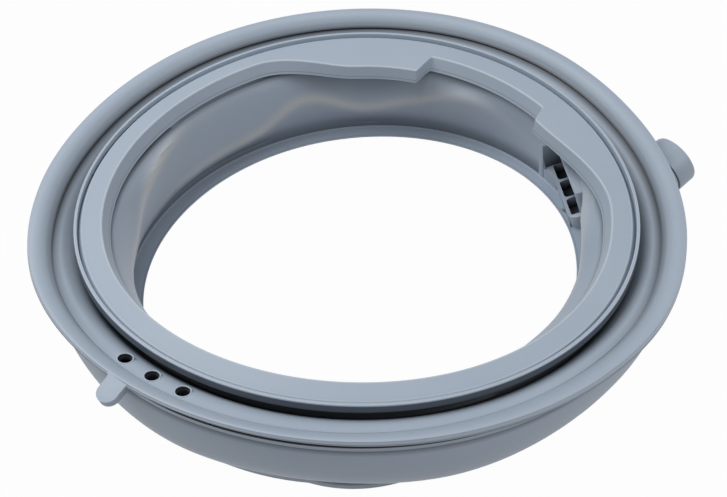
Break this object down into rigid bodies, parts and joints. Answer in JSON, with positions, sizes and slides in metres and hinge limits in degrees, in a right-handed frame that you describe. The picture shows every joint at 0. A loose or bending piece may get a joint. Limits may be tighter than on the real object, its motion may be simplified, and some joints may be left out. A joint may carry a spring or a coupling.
{
  "type": "washing machine door seal",
  "caption": "Front-loader door seal: a moulded rubber bellows ring with a front lip, drain channel, drain holes, pull tab, inlet nozzle and a tub-side collar.",
  "frame": {"origin": "centre of the tub-side rim, on the plane that the rim rests on", "axes": "+Z from the tub towards the door, +Y towards the top of the machine, -Y towards the drain holes, +X to the right as seen from the door"},
  "size_m": [0.3882, 0.4031, 0.0923],
  "materials": {
    "rubber": "satin moulded rubber"
  },
  "bodies": {
    "root": {"door_seal": "rubber"}
  },
  "joints": []
}
